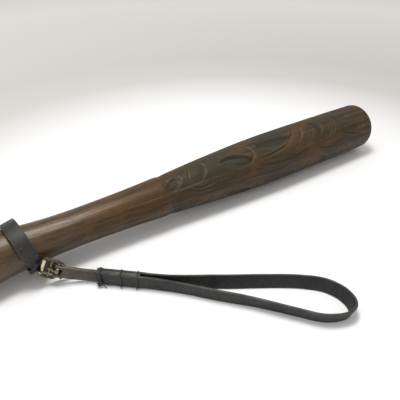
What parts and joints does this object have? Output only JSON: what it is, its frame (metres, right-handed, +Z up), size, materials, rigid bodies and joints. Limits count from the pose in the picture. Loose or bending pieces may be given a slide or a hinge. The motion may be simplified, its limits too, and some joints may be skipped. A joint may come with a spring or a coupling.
{
  "type": "baseball bat",
  "caption": "Short carved hardwood bat with a flared butt, a buckled leather collar round the handle and a leather wrist loop.",
  "frame": {"origin": "centre of the flat butt face", "axes": "+X along the bat from the butt to the barrel end, +Z up as it lies level on its knob and barrel, wrist loop towards -Y"},
  "size_m": [0.46, 0.2118, 0.0536],
  "materials": {
    "dark_wood": "polished dark hardwood, worn",
    "black_leather": "black strap leather, creased, soft sheen",
    "brown_leather": "worn brown leather, dull",
    "brass": "aged brass, polished edges",
    "waxed_thread": "black waxed thread"
  },
  "bodies": {
    "bat": {"bat_body": "dark_wood"},
    "collar": {"collar_strap": "black_leather", "collar_seam": "waxed_thread", "buckle_frame": "brass", "buckle_pin": "brass"},
    "prong": {"buckle_prong": "brass"},
    "lead": {"chape": "brown_leather", "binding_inner": "waxed_thread", "binding_middle": "waxed_thread", "binding_outer": "waxed_thread", "wrist_loop": "black_leather"}
  },
  "joints": [
    {"name": "collar_turn", "type": "hinge", "parent": "bat", "child": "collar", "pos_m": [0.06, 0, 0], "axis": [1, 0, 0], "continuous": true},
    {"name": "lead_swing", "type": "hinge", "parent": "collar", "child": "lead", "pos_m": [0.07405, -0.02863, -0.01175], "axis": [0.432, -0.0887, 0.8975], "range_deg": [-90, 5]},
    {"name": "prong_lift", "type": "hinge", "parent": "collar", "child": "prong", "pos_m": [0.0695, -0.026, -0.0093], "axis": [-0.432, 0.0887, -0.8975], "range_deg": [0, 130]}
  ]
}
